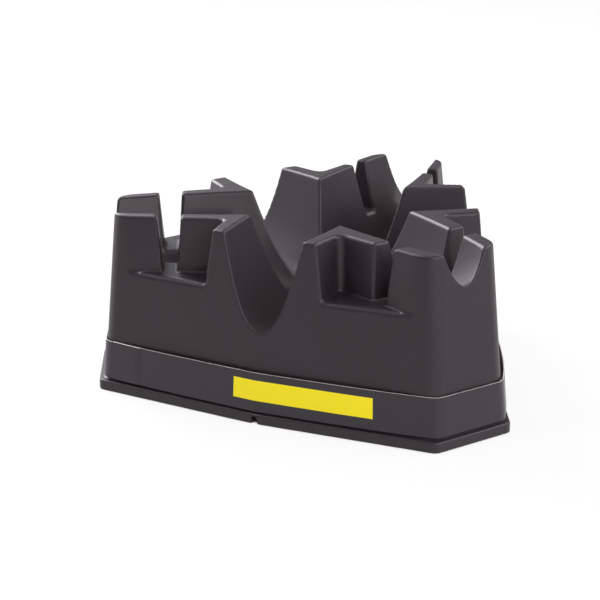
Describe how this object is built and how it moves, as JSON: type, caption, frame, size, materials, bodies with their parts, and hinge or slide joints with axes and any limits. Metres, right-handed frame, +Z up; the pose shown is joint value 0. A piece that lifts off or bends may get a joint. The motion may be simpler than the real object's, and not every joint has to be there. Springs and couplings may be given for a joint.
{
  "type": "bike trainer front riser block",
  "caption": "Hollow moulded block with crossing grooves at stepped heights that hold a bike's front wheel on a trainer, with a lift-off printed card band round its foot.",
  "frame": {"origin": "middle of the footprint's bounding box, on the floor under the block", "axes": "+Z up, -Y towards the long side that carries the yellow panel, +X along that side to its right; the grooves cross 33.6 mm in front of the origin"},
  "size_m": [0.4394, 0.3928, 0.1755],
  "materials": {
    "block_plastic": "dark grey with a fine moulded texture",
    "printed_card": "satin print, dark grey with a plain yellow panel"
  },
  "bodies": {
    "block": {"moulded_block": "block_plastic"},
    "sleeve": {"card_band": "printed_card"}
  },
  "joints": [
    {"name": "band_lift", "type": "slide", "parent": "block", "child": "sleeve", "axis": [0, 0, 1], "range_m": [0, 0.18]}
  ]
}
